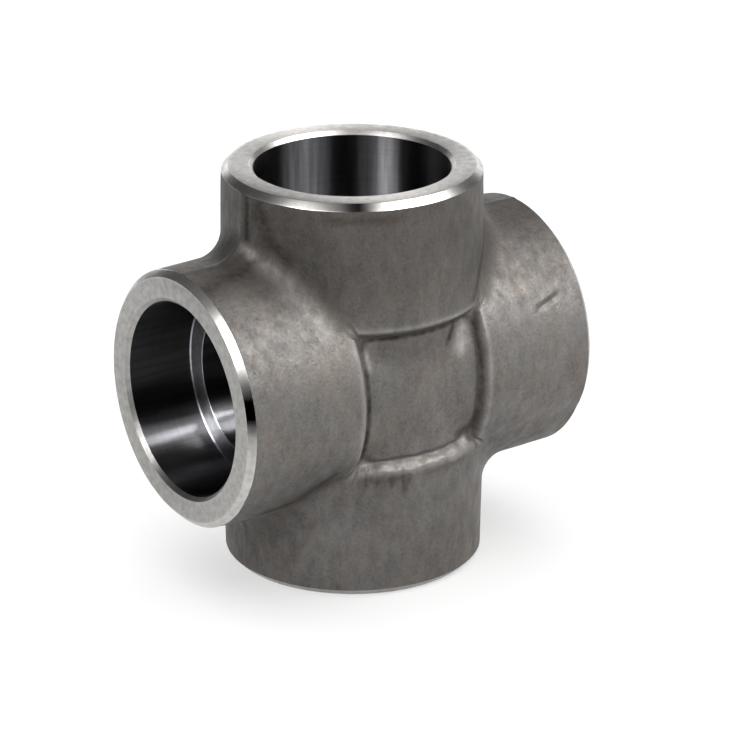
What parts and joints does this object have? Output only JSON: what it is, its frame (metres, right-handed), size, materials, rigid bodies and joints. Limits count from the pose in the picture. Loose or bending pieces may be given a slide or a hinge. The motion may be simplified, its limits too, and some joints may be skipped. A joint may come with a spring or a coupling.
{
  "type": "pipe cross",
  "caption": "Forged steel pipe cross: short round arms meet at right angles round a recessed centre field, and each ends in a machined socket for a welded pipe.",
  "frame": {"origin": "the point where the axes of the arms cross, which is the centre of the bounding box", "axes": "+X along the right arm, +Z along the upper arm, and the front, with one centre field, faces -Y"},
  "size_m": [0.071, 0.0458, 0.071],
  "materials": {
    "forged_steel": "as forged and blasted, matt grey, with bright machined faces and bores"
  },
  "bodies": {
    "root": {"cross_body": "forged_steel"}
  },
  "joints": []
}
